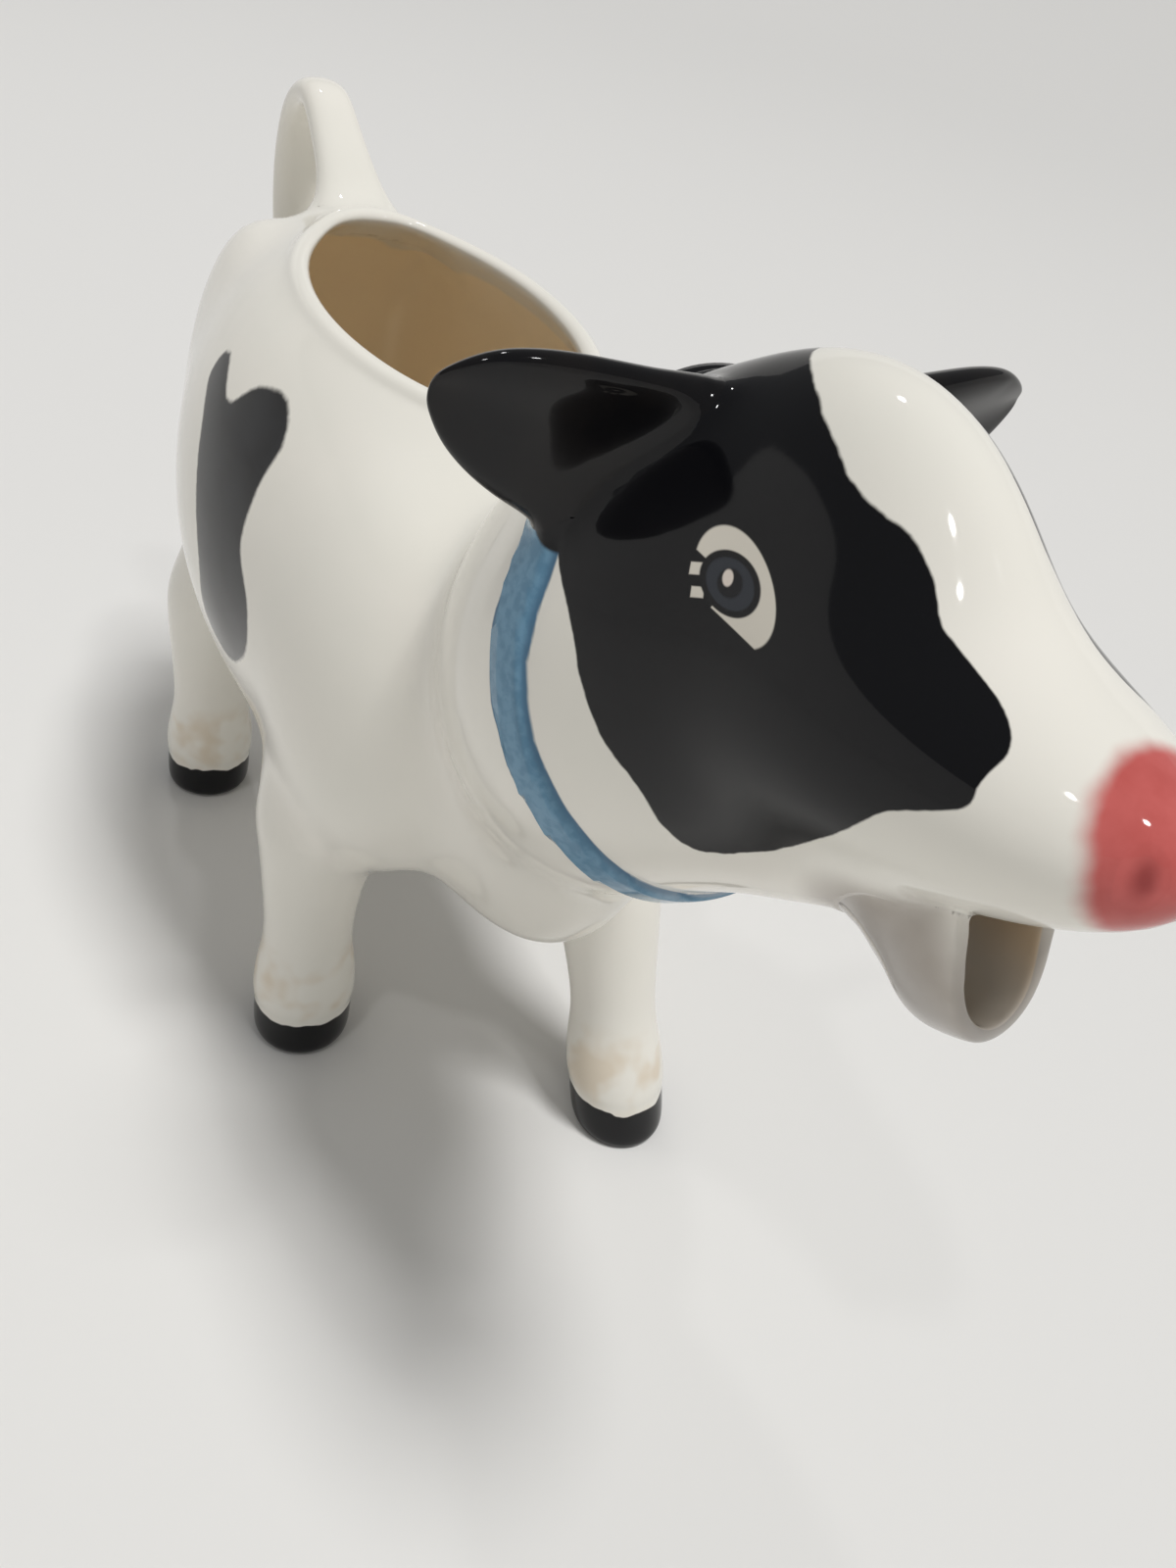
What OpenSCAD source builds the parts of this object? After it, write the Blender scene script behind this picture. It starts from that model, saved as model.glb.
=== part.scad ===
// Cow creamer: a slip-cast jug in the shape of a standing cow. It is filled through the open back, held
// by the looped tail and poured from the mouth. The hollow body and head are cast shells that meet at
// the collar. The legs, ears, tail and lower jaw are cast or pressed and luted on with slip.
// X runs to the nose, Y to the cow's left, Z up from the table.

/* [Casting] */
// Thickness of the cast wall
wall = 3; // [2.6:0.1:3.4]
// Slip layer between a luted piece and the casting that it sits on
slip = 0.2; // [0.15:0.05:0.3]
// How far neighbouring forms melt into each other
blend = 3; // [2.6:0.1:3.4]

/* [Barrel] */
// Length of the barrel
barrel_len = 90; // [88:1:93]
// Width of the barrel
barrel_w = 59; // [55:1:63]
// Height of the barrel
barrel_h = 74; // [72:1:76]
// Height of the middle of the barrel above the table
barrel_z = 67.5; // [66:0.5:69]

/* [Rump] */
// Distance of the middle of the rump in front of the barrel's rear end
rump_in = 16.5; // [15:0.5:18]
// Length of the rump
rump_len = 45; // [42:1:48]
// Width of the rump
rump_w = 38; // [34:1:42]
// Height of the rump
rump_h = 54; // [52:1:56]
// How much higher the middle of the rump is than that of the barrel
rump_lift = 2.5; // [1.5:0.5:3.5]

/* [Haunches] */
// Distance of the middle of the haunches in front of the barrel's rear end
haunch_in = 12; // [10.5:0.5:13.5]
// Length of a haunch
haunch_len = 36; // [33:1:39]
// Thickness of a haunch
haunch_w = 17; // [15:1:19]
// Height of a haunch
haunch_h = 58; // [56:1:60]
// Distance between the middles of the two haunches
haunch_gauge = 24; // [22:1:26]
// How much the middle of a haunch is lower than that of the barrel
haunch_drop = 2; // [1:0.5:3]

/* [Chest] */
// Distance of the middle of the chest behind the barrel's front end
chest_in = 9; // [8:0.5:10]
// Length of the chest
chest_len = 61; // [59:1:63]
// Width of the breastbone
chest_w = 24; // [22:1:26]
// Height of the chest
chest_h = 54; // [52:1:56]
// How much the middle of the chest is lower than that of the barrel
chest_drop = 6; // [5:0.5:7]

/* [Shoulders] */
// Distance of the middle of the shoulders behind the barrel's front end
shoulder_in = 16; // [15:0.5:17]
// Length of a shoulder
shoulder_len = 32; // [30:1:34]
// Thickness of a shoulder
shoulder_w = 24; // [22:1:26]
// Height of a shoulder
shoulder_h = 51; // [49:1:53]
// Distance between the middles of the two shoulders
shoulder_gauge = 26; // [24:1:28]
// How much the middle of a shoulder is lower than that of the barrel
shoulder_drop = 5.5; // [4.5:0.5:6.5]

/* [Neck] */
// Distance of the middle of the neck in front of the barrel's front end
neck_ahead = 18; // [17:0.5:19]
// How much higher the middle of the neck is than that of the barrel
neck_lift = 18.5; // [18:0.5:19]
// Depth of the neck from nape to throat
neck_d = 43; // [42:0.5:44]
// Width of the neck
neck_w = 38; // [36:0.5:40]
// Length of the neck form
neck_len = 57; // [56:0.5:58]
// Lean of the neck towards the nose, in degrees
neck_lean = 33.6; // [32:0.4:35]

/* [Head] */
// Distance of the middle of the skull in front of the middle of the neck
skull_ahead = 18; // [17.5:0.5:18.5]
// Height of the middle of the skull above the table
skull_z = 100; // [99.5:0.5:100.5]
// Length of the skull
skull_len = 39.5; // [38.5:0.5:40.5]
// Width of the skull
skull_w = 18.4; // [17:0.2:20]
// Height of the skull
skull_h = 40; // [39:0.5:41]
// Tilt of the skull, nose down, in degrees
skull_tilt = 7; // [5:1:9]
// Distance of the middle of the muzzle in front of that of the skull
muzzle_ahead = 12.5; // [12:0.5:13]
// Length of the muzzle
muzzle_len = 46; // [45:0.5:47]
// Width of the muzzle
muzzle_w = 21.4; // [20:0.2:23]
// Height of the muzzle
muzzle_h = 17.4; // [17:0.2:18]
// Tilt of the muzzle, nose up, in degrees
muzzle_tilt = 12; // [11:0.5:13]

/* [Filling opening] */
// Distance of the front of the opening behind the barrel's front end
rim_in = 9.5; // [9:0.5:10]
// Height of the front of the opening above the middle of the barrel
rim_lift = 26.3; // [26:0.1:26.6]
// Rise of the opening towards the tail, in degrees
rim_slope = 5.2; // [4.6:0.2:5.8]

/* [Collar] */
// Distance of the collar's lower end in front of the middle of the neck
collar_ahead = 12.7; // [12.4:0.1:13]
// Height of the collar's lower end above the table
collar_z = 68; // [67.5:0.5:68.5]
// Lean of the collar towards the tail, in degrees
collar_lean = 22.2; // [21.6:0.2:22.8]
// Width of the raised collar band
collar_w = 4.4; // [3.6:0.2:5]
// Height of the collar band over the neck
collar_relief = 0.7; // [0.4:0.1:1]

/* [Mouth] */
// Distance of the middle of the mouth in front of the middle of the skull
mouth_ahead = 22.5; // [22:0.5:23]
// Length of the mouth hole
mouth_len = 12.6; // [12:0.2:13.2]
// Width of the mouth hole
mouth_w = 14; // [13.4:0.2:14.6]

/* [Lower jaw] */
// Distance of the jaw's lip in front of the middle of the mouth
lip_ahead = 4.6; // [4.2:0.2:5]
// Distance of the jaw's back end behind the middle of the mouth
jaw_back = 7.6; // [7.2:0.2:8]
// Width of the jaw
jaw_w = 10.2; // [9.8:0.2:10.6]
// Depth of the jaw's bowl
jaw_d = 11.2; // [10.4:0.2:12]
// Thickness of the jaw
jaw_wall = 1.5; // [1.3:0.1:1.7]

/* [Ears] */
// Distance from one ear's tip to the other's
ear_span = 55.5; // [54:0.5:57]
// Height of the ear tips above the middle of the skull
ear_lift = 13; // [12:0.5:14.5]
// Distance of the ear tips behind the middle of the skull
ear_back = 14; // [12.5:0.5:15]
// Width of an ear
ear_w = 14.4; // [13:0.2:15.6]
// Thickness of an ear
ear_t = 6.4; // [5.4:0.2:7]
// Turn of the ear's dished side towards the ground, in degrees
ear_turn = 18; // [14:1:22]

/* [Tail handle] */
// Rise of the loop over its front root
tail_rise = 10.5; // [9:0.5:12]
// Reach of the loop behind its front root
tail_reach = 26; // [24:0.5:28]
// Width of the tail across the cow
tail_w = 8.8; // [8:0.2:10]
// Thickness of the tail
tail_t = 4.6; // [4:0.2:5]

/* [Legs] */
// Distance of the middle of each hoof from the side of the barrel
hoof_in = 10.1; // [9.3:0.2:10.9]
// Distance of the left front hoof in front of the barrel's front end
step_front_left = 12; // [11:0.5:13]
// Distance of the right front hoof behind the barrel's front end
step_front_right = 18; // [17:0.5:19]
// Distance of the left rear hoof in front of the barrel's rear end
step_rear_left = 5; // [4:0.5:6]
// Distance of the right rear hoof in front of the barrel's rear end
step_rear_right = 11.5; // [10.5:0.5:12.5]
// Height of a hoof
hoof_h = 7.5; // [6.5:0.1:8.5]
// Diameter of a hoof
hoof_d = 14.2; // [13.4:0.2:15]
// Diameter of the flat sole of a hoof
sole_d = 12; // [11:0.2:12.6]
// Diameter of the fetlock over the hoof
fetlock_d = 14.8; // [14:0.2:15.6]
// Diameter of the thinnest part of a leg
shank_d = 12.4; // [11.6:0.2:13.2]
// Height at which the legs begin to spread
shank_z = 20; // [19:0.5:21]
// Diameter of a thigh where it turns into the body
thigh_d = 15.6; // [14.8:0.2:16.8]
// Height at which the thighs turn into the body
hip_z = 40; // [38.5:0.5:41.5]

/* [Hidden] */

glaze_white = [0.93, 0.90, 0.84];
glaze_black = [0.06, 0.06, 0.07];

// Lengths along the cow are measured from the barrel's two ends
front_x = barrel_len / 2;
rear_x = -barrel_len / 2;
neck_x = front_x + neck_ahead;
skull_x = neck_x + skull_ahead;
track = barrel_w / 2 - hoof_in;

// Round counts of the facets
around = 40;
leg_around = 20;
hair = wall / 10000;

// The forms that the skin is drawn over, each an ellipsoid of clay. Pairs lie at both sides.
function lump(x, y, z, length, width, height, tilt = 0) =
    [[x, y, z], [2 / length, 2 / width, 2 / height], cos(tilt), sin(tilt)];

lumps = [
    lump(0, 0, barrel_z, barrel_len, barrel_w, barrel_h),
    lump(rear_x + rump_in, 0, barrel_z + rump_lift, rump_len, rump_w, rump_h),
    lump(rear_x + haunch_in, haunch_gauge / 2, barrel_z - haunch_drop, haunch_len, haunch_w, haunch_h),
    lump(front_x - chest_in, 0, barrel_z - chest_drop, chest_len, chest_w, chest_h),
    lump(front_x - shoulder_in, shoulder_gauge / 2, barrel_z - shoulder_drop,
         shoulder_len, shoulder_w, shoulder_h),
    lump(neck_x, 0, barrel_z + neck_lift, neck_d, neck_w, neck_len, neck_lean),
    lump(skull_x, 0, skull_z, skull_len, skull_w, skull_h, skull_tilt),
    lump(skull_x + muzzle_ahead, 0, skull_z, muzzle_len, muzzle_w, muzzle_h, -muzzle_tilt)
];
all_lumps = [for (m = lumps) 1];

// Distance of a point from the skin of one form, less than zero inside
function lump_gap(p, m) =
    let (d = p - m[0],
         q = [d.x * m[2] - d.z * m[3], d.y, d.x * m[3] + d.z * m[2]],
         s = [q.x * m[1].x, q.y * m[1].y, q.z * m[1].z],
         near = norm(s),
         slope = norm([s.x * m[1].x, s.y * m[1].y, s.z * m[1].z]))
    near * (near - 1) / slope;

// Distance of a point from the skin of the whole cow without legs, ears, tail and jaw
function skin(p) =
    let (q = [p.x, abs(p.y), p.z])
    -blend * ln([for (m = lumps) exp(-lump_gap(q, m) / blend)] * all_lumps);

// How far a ray from the point c inside the cow runs until it is at the given depth of the skin
function step_out(c, u, depth, t, n) =
    n == 0 ? t : step_out(c, u, depth, t - skin(c + t * u) + depth, n - 1);
function home_in(c, u, depth, t0, gap0, t1, n) =
    let (gap1 = skin(c + t1 * u) - depth)
    n == 0 || abs(gap1 - gap0) < hair ? t1
    : home_in(c, u, depth, t1, gap1, t1 - gap1 * (t1 - t0) / (gap1 - gap0), n - 1);
function reach(c, u, depth = 0) =
    let (t0 = step_out(c, u, depth, blend, 5),
         gap0 = skin(c + t0 * u) - depth)
    home_in(c, u, depth, t0, gap0, t0 - gap0, 4);

// How far a ray from the point c outside the cow runs until it meets the skin
function step_in(c, u, t, n) = n == 0 ? t : step_in(c, u, t + skin(c + t * u), n - 1);

// Share of a path, from outside to inside, at which it comes within the slip layer of the skin
function seat_share(path, low = 0, high = 1, n = 13) =
    let (mid = (low + high) / 2)
    n == 0 ? mid
    : skin(path(mid)) > slip ? seat_share(path, mid, high, n - 1)
    : seat_share(path, low, mid, n - 1);

function mix(a, b, s) = a + (b - a) * s;
function unit(v) = v / norm(v);

// A direction in the middle plane, in degrees up from the nose
function heading(a) = [cos(a), 0, sin(a)];

// A section through the shell is the half plane that starts at a hinge outside the skin and runs along u.
// It is kept as the middle of the section, its half length along u and its half width across.
function section(hinge, u) =
    let (near = step_in(hinge, u, 0, 12),
         inside = hinge + (near + 2 * wall) * u,
         far = reach(inside, u),
         middle = mix(hinge + near * u, inside + far * u, 0.5))
    [middle, norm(middle - hinge - near * u) * u, reach(middle, [0, -1, 0])];

// Points of a section at a depth of the skin, from u round by the right side and back by the left
function half_ring(s, depth, n) =
    [for (k = [0:n / 2])
        let (v = ray(s, 360 * k / n))
        s[0] + reach(s[0], v, depth) * v];
function ray(s, a) = unit(cos(a) * s[1] - [0, sin(a) * s[2], 0]);
function mirrored(half) = concat(half, [for (k = [len(half) - 2:-1:1]) [half[k].x, -half[k].y, half[k].z]]);
function ring(s, depth) = mirrored(half_ring(s, depth, around));

// Faces of the band between ring i and ring j, each of n points
function band(i, j, n) =
    [for (a = [0:n - 1])
        let (b = (a + 1) % n)
        each [[i * n + a, i * n + b, j * n + b], [i * n + a, j * n + b, j * n + a]]];

// A closed wall: the list of rings runs along the outside and comes back along the inside
module wall_loft(rings) {
    n = len(rings[0]);
    count = len(rings);
    polyhedron(points = [for (r = rings) each r],
               faces = [for (i = [0:count - 1]) each band(i, (i + 1) % count, n)]);
}

// A closed solid: rings from the first cap to the last, each cap drawn to its own middle point
module plug_loft(rings, first, last) {
    n = len(rings[0]);
    count = len(rings);
    polyhedron(points = concat([for (r = rings) each r], [first, last]),
               faces = concat(
                   [for (i = [0:count - 2]) each band(i, i + 1, n)],
                   [for (a = [0:n - 1]) [count * n, (a + 1) % n, a]],
                   [for (a = [0:n - 1])
                       [count * n + 1, (count - 1) * n + a, (count - 1) * n + (a + 1) % n]]));
}

// The collar seam: a plane that leans back from the throat to the nape
seam_low = [neck_x + collar_ahead, 0, collar_z];
seam_up = heading(90 + collar_lean);
seam_front = heading(collar_lean);
nape_reach = neck_len * 0.86;
throat_hinge = seam_low - 2 * slip * seam_up - wall / 2 * seam_up;
nape_hinge = seam_low + nape_reach * seam_up;

// The opening: a plane that rises to the tail from a hinge in front of its rim
rim_hinge = [front_x - rim_in, 0, barrel_z + rim_lift];
rim_angle = 180 - rim_slope;
seam_angle = 270 + collar_lean;
rim_up = heading(90 - rim_slope);

// Sections of the body, from the opening back and round under the belly and up to the collar
body_turn_share = [0, 0.025, 0.055, 0.09, 0.125, 0.16, 0.195, 0.23, 0.265, 0.3, 0.34, 0.38, 0.42, 0.46, 0.5,
                   0.54, 0.58, 0.62, 0.66, 0.7, 0.735, 0.77, 0.8, 0.83, 0.86, 0.885, 0.91, 0.935, 0.96, 0.98, 1];
body_walk_share = [for (s = body_turn_share) s < 0.66 ? 0 : pow((s - 0.66) / 0.34, 1.6)];
body_sections = [for (i = [0:len(body_turn_share) - 1])
    section(mix(rim_hinge, nape_hinge, body_walk_share[i]),
            heading(mix(rim_angle, seam_angle, body_turn_share[i])))];

// Near the opening the wall is measured level with the rim, and lower down square to the skin
rim_shares = [0, 0.2, 0.45, 0.7, 0.9];
function steepness(p, n) = let (d = wall / 20) cross(n, [
    skin(p + [d, 0, 0]) - skin(p - [d, 0, 0]),
    skin(p + [0, d, 0]) - skin(p - [0, d, 0]),
    skin(p + [0, 0, d]) - skin(p - [0, 0, d])]);
function rim_half_ring(s, share) =
    let (n = cross(unit(s[1]), [0, 1, 0]))
    [for (k = [0:around / 2])
        let (v = ray(s, 360 * k / around),
             t = reach(s[0], v),
             out = unit(cross(steepness(s[0] + t * v, n), n)))
        s[0] + mix(t - wall / abs(out * v), reach(s[0], v, -wall), share) * v];

// Barrel, rump, chest and lower neck as one casting, open at the back and at the collar. The edge of the
// opening is rounded.
module body_shell() {
    outside = [for (s = body_sections) ring(s, 0)];
    inside = [for (i = [len(body_sections) - 1:-1:0])
        i < len(rim_shares) ? mirrored(rim_half_ring(body_sections[i], rim_shares[i]))
        : ring(body_sections[i], -wall)];
    inner_edge = inside[len(inside) - 1];
    outer_edge = outside[0];
    rim = [for (a = [45:45:135])
        [for (k = [0:around - 1])
            mix(inner_edge[k], outer_edge[k], 0.5 - 0.5 * cos(a)) + sin(a) * wall / 2 * rim_up]];
    color(glaze_white) wall_loft(concat(outside, inside, rim));
}

// Sections of the head: two close ones for the collar band, then over the poll and the forehead
head_fan_share = [0, 0.09, 0.18, 0.27, 0.36, 0.45, 0.54, 0.63, 0.72, 0.81, 0.9, 1];
jaw_hinge = [skull_x + mouth_ahead - jaw_back - wall / 2, 0, skull_z - muzzle_h];
collar_hinge = throat_hinge + collar_w * seam_front;
muzzle_angle = 70;
head_sections = concat(
    [section(throat_hinge, seam_up), section(collar_hinge, seam_up)],
    [for (s = head_fan_share)
        section(mix(collar_hinge + 0.4 * wall / 3 * seam_front, jaw_hinge, s),
                heading(mix(90 + collar_lean, muzzle_angle, s)))]);

// The front of the muzzle, from the last section over the nose and under to the mouth hole
muzzle_middle = head_sections[len(head_sections) - 1][0];
mouth_middle = [skull_x + mouth_ahead, 0, skull_z - muzzle_h / 2];
mouth_down = unit(mouth_middle - muzzle_middle);
mouth_front = [-mouth_down.z, 0, mouth_down.x];
dome_share = [0.14, 0.28, 0.42, 0.56, 0.7, 0.82, 0.92, 1];
inner_spread = 1.36;
function dome_half_ring(s, depth, spread) =
    let (first = half_ring(head_sections[len(head_sections) - 1], 0, around),
         drop = norm(mouth_middle - muzzle_middle) * mouth_down)
    [for (k = [0:around / 2])
        let (a = 360 * k / around,
             edge = drop + spread * (cos(a) * mouth_len / 2 * mouth_front - [0, sin(a) * mouth_w / 2, 0]),
             v = unit(mix(unit(first[k] - muzzle_middle), unit(edge), s)))
        muzzle_middle + reach(muzzle_middle, v, depth) * v];

// Upper neck and head as one hollow casting with the collar band in relief. The mouth is a hole in the
// underside of the muzzle.
module head_shell() {
    relief = [for (i = [0:len(head_sections) - 1]) i < 2 ? collar_relief : 0];
    inside = concat([for (i = [0, each [2:2:len(head_sections) - 1]]) ring(head_sections[i], -wall)],
                    [for (s = dome_share) mirrored(dome_half_ring(s, -wall, inner_spread))]);
    outside = concat([for (i = [len(dome_share) - 1:-1:0]) mirrored(dome_half_ring(dome_share[i], 0, 1))],
                     [for (i = [len(head_sections) - 1:-1:0]) ring(head_sections[i], relief[i])]);
    color(glaze_white) wall_loft(concat(inside, outside));
}

// Height of the skin over a point under the muzzle
function chin_z(x, y) =
    let (start = [x, y, skull_z - 1.5 * muzzle_h - jaw_d / 2])
    start.z + step_in(start, [0, 0, 1], 0, 16);

// A small bowl under the mouth, open in front. All its edges but the lip sit on the muzzle. Its rows run
// from one place at the back to the lip.
jaw_rows = 12;
jaw_cols = 16;
lip_lean_share = 0.12;
module lower_jaw() {
    function bulge(a) = pow(cos(a), 0.45);
    function jaw_point(a, s, inset) =
        let (back = mouth_middle.x - jaw_back + inset,
             front = mouth_middle.x + lip_ahead - lip_lean_share * jaw_d * (1 - bulge(a)),
             x = mix(back, front, s),
             y = (jaw_w / 2 - inset) * pow(sin(90 * min(1, s * 1.6)), 0.6) * sin(a),
             drop = (jaw_d - inset) * pow(sin(mix(0, 105, s)), 0.8) * bulge(a))
        [x, y, chin_z(x, y) - slip - drop];
    function jaw_skin(inset) =
        concat([jaw_point(0, 0, inset)],
               [for (i = [1:jaw_rows], k = [0:jaw_cols])
                   jaw_point(mix(-90, 90, k / jaw_cols), i / jaw_rows, inset)]);
    outside = jaw_skin(0);
    back = len(outside);
    function spot(i, k) = i == 0 ? 0 : 1 + (i - 1) * (jaw_cols + 1) + k;
    sheet = [for (i = [0:jaw_rows - 1], k = [0:jaw_cols - 1])
        let (a = spot(i, k), b = spot(i, k + 1), c = spot(i + 1, k), d = spot(i + 1, k + 1))
        each i == 0 ? [[a, c, d]] : [[a, d, b], [a, c, d]]];
    lining = [for (f = sheet) [back + f[0], back + f[2], back + f[1]]];
    sides = [for (i = [0:jaw_rows - 1])
        let (a = spot(i, 0), b = spot(i + 1, 0), c = spot(i, jaw_cols), d = spot(i + 1, jaw_cols))
        each [[a, back + b, b], [a, back + a, back + b], [c, d, back + d], [c, back + d, back + c]]];
    lip = [for (k = [0:jaw_cols - 1])
        let (a = spot(jaw_rows, k), b = a + 1)
        each [[a, back + b, b], [a, back + a, back + b]]];
    color(glaze_white)
        polyhedron(points = concat(outside, jaw_skin(jaw_wall)), faces = concat(sheet, lining, sides, lip));
}

// Smooth curve through a list of points, s from 0 to 1
function curve(points, s) =
    let (last = len(points) - 1,
         t = min(max(s, 0), 0.99999) * last,
         i = floor(t),
         f = t - i,
         p1 = points[i],
         p2 = points[i + 1],
         p0 = i > 0 ? points[i - 1] : 2 * p1 - p2,
         p3 = i + 2 <= last ? points[i + 2] : 2 * p2 - p1)
    0.5 * (2 * p1 + (p2 - p0) * f + (2 * p0 - 5 * p1 + 4 * p2 - p3) * f * f
           + (3 * p1 - p0 - 3 * p2 + p3) * f * f * f);
function curve_heading(points, s) = unit(curve(points, s + 0.01) - curve(points, s - 0.01));

// A broad ear that stands out and up with its dished side to the front and a little down. Its root is cut
// to the side of the head.
ear_around = 18;
ear_rows = 9;
module ear() {
    root = [skull_x - 0.9 * ear_back, skull_w * 0.25, skull_z + ear_lift * 0.6];
    bend = [skull_x - 0.95 * ear_back, ear_span * 0.3, skull_z + ear_lift * 0.72];
    tip = [skull_x - ear_back, ear_span / 2, skull_z + ear_lift];
    line = [root, bend, tip];
    run = unit(tip - root);
    lift = unit(cross([1, 0, 0], run));
    ahead = cross(run, lift);
    wide = cos(ear_turn) * lift + sin(ear_turn) * ahead;
    thick = cos(ear_turn) * ahead - sin(ear_turn) * lift;
    function girth(s) = s < 0.4 ? mix(0.6, 1, sin(180 * min(0.5, s / 0.5))) : pow(cos(90 * (s - 0.4) / 0.6), 0.5);
    function dish(a) = sin(a) > 0 ? sin(a) - 0.8 * pow(sin(a), 3) : sin(a);
    function ear_point(a, s, thin = 1) =
        curve(line, s) + thin * girth(s) * (cos(a) * ear_w / 2 * wide + dish(a) * ear_t / 2 * thick);
    function ear_seat(a, thin) = 0.8 * (1 - seat_share(function (s) ear_point(a, 0.8 * (1 - s), thin)));
    angles = [for (k = [0:ear_around - 1]) -360 * k / ear_around];
    rows = [for (i = [0:ear_rows - 1])
        [for (a = angles) ear_point(a, mix(ear_seat(a, 1), 0.985, i / (ear_rows - 1)))]];
    cap = [for (a = angles) ear_point(a, ear_seat(a, 0.5), 0.5)];
    color(glaze_black) plug_loft(concat([cap], rows), ear_point(0, ear_seat(0, 0), 0), ear_point(0, 1, 0));
}

module ear_left() {
    ear();
}

module ear_right() {
    mirror([0, 1, 0]) ear();
}

// The tail, bent up and back into a loop. Its front end sits behind the rim and its lower end on the rump.
tail_around = 14;
tail_rows = 26;
tail_root = [rear_x + barrel_len * 0.14, 0, barrel_z + barrel_h * 0.43];
tail_line = [
    tail_root + [tail_reach * 0.28, 0, -tail_rise * 0.75],
    tail_root,
    tail_root + [-tail_reach * 0.25, 0, tail_rise * 0.55],
    tail_root + [-tail_reach * 0.55, 0, tail_rise],
    tail_root + [-tail_reach * 0.88, 0, tail_rise * 0.62],
    tail_root + [-tail_reach * 0.99, 0, -tail_rise * 0.5],
    tail_root + [-tail_reach * 0.8, 0, -tail_rise * 1.7],
    tail_root + [-tail_reach * 0.35, 0, -tail_rise * 2.7]
];
module tail_handle() {
    function tail_point(a, s, thin = 1) =
        let (run = curve_heading(tail_line, s),
             up = [run.z, 0, -run.x],
             flare = 1 + 0.5 * pow(abs(2 * s - 1), 5),
             w = tail_w / 2 * flare,
             t = tail_t / 2 * flare)
        curve(tail_line, s) + thin * [0, w * sign(cos(a)) * pow(abs(cos(a)), 0.8), 0]
            + thin * t * sign(sin(a)) * pow(abs(sin(a)), 0.8) * up;
    function front_seat(a, thin) = 0.4 * (1 - seat_share(function (s) tail_point(a, 0.4 * (1 - s), thin)));
    function rear_seat(a, thin) = 1 - 0.4 * (1 - seat_share(function (s) tail_point(a, 1 - 0.4 * (1 - s), thin)));
    angles = [for (k = [0:tail_around - 1]) 360 * k / tail_around];
    front = [for (a = angles) front_seat(a, 1)];
    rear = [for (a = angles) rear_seat(a, 1)];
    rows = [for (i = [0:tail_rows])
        [for (k = [0:tail_around - 1]) tail_point(angles[k], mix(front[k], rear[k], i / tail_rows))]];
    color(glaze_white) plug_loft(rows, tail_point(0, front_seat(0, 0), 0), tail_point(0, rear_seat(0, 0), 0));
}

// A leg: flat sole, rounded hoof, fetlock and shank, then a thigh that spreads up to the belly or flank.
// The foot and the hip are places of the leg's middle line, and the heart is the place inside the body
// that the thigh's grain runs to.
module leg(foot, hip, heart) {
    function spoke(a) = [cos(a), -sin(a), 0];
    foot_profile = [[0, sole_d / 2],
                    [0.08 * hoof_h, mix(sole_d, hoof_d, 0.62) / 2],
                    [0.26 * hoof_h, hoof_d / 2],
                    [0.96 * hoof_h, 0.99 * hoof_d / 2],
                    [1.04 * hoof_h, fetlock_d / 2],
                    [mix(hoof_h, shank_z, 0.35), 0.97 * fetlock_d / 2],
                    [mix(hoof_h, shank_z, 0.68), 1.02 * shank_d / 2],
                    [shank_z, shank_d / 2]];
    function axis(z) = mix(foot, hip, z / hip.z);
    function thigh_point(a, s, thin) =
        let (low = axis(mix(shank_z, hip.z, min(1, 2 * s))) + thin * mix(shank_d, thigh_d, min(1, 2 * s)) / 2 * spoke(a))
        mix(low, heart, max(0, 2 * s - 1));
    function thigh_seat(a, thin) = seat_share(function (s) thigh_point(a, s, thin));
    angles = [for (k = [0:leg_around - 1]) 360 * k / leg_around];
    seats = [for (a = angles) thigh_seat(a, 1)];
    shaft = [for (p = foot_profile) [for (a = angles) axis(p[0]) + p[1] * spoke(a)]];
    thigh = [for (share = [0.2, 0.4, 0.6, 0.8, 1])
        [for (k = [0:leg_around - 1]) thigh_point(angles[k], share * seats[k], 1)]];
    cap = [for (thin = [0.7, 0.35]) [for (a = angles) thigh_point(a, thigh_seat(a, thin), thin)]];
    color(glaze_white) plug_loft(concat(shaft, thigh, cap), foot, thigh_point(0, thigh_seat(0, 0), 0));
}

module leg_front_left() {
    leg([front_x + step_front_left, track, 0],
        [front_x - 0.2 * step_front_left, 0.82 * track, hip_z],
        [front_x - step_front_left, 0.3 * track, barrel_z]);
}

module leg_front_right() {
    leg([front_x - step_front_right, -track, 0],
        [front_x - 1.2 * step_front_right, -0.93 * track, hip_z],
        [front_x - 1.3 * step_front_right, -0.4 * track, barrel_z]);
}

module leg_rear_left() {
    leg([rear_x + step_rear_left, track, 0],
        [rear_x + 1.25 * step_rear_left, 0.94 * track, hip_z],
        [rear_x + 1.8 * step_rear_left, 0.3 * track, barrel_z]);
}

module leg_rear_right() {
    leg([rear_x + step_rear_right, -track, 0],
        [rear_x + step_rear_right, -0.94 * track, hip_z],
        [rear_x + step_rear_right, -0.3 * track, barrel_z]);
}

// The origin lies on the table, half way between the tail's end and the nose
tail_end = min([for (s = [0:0.02:1]) curve(tail_line, s).x]) - tail_t / 2;
nose_end = max([for (a = [-40:8:40]) (muzzle_middle + reach(muzzle_middle, heading(a)) * heading(a)).x]);
module centred() {
    translate([-(tail_end + nose_end) / 2, 0, 0]) children();
}

centred() body_shell();
centred() head_shell();
centred() lower_jaw();
centred() ear_left();
centred() ear_right();
centred() tail_handle();
centred() leg_front_left();
centred() leg_front_right();
centred() leg_rear_left();
centred() leg_rear_right();
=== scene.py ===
import math

import bmesh
import bpy
import numpy as np
from mathutils import Matrix, Vector
from mathutils.bvhtree import BVHTree


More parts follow.
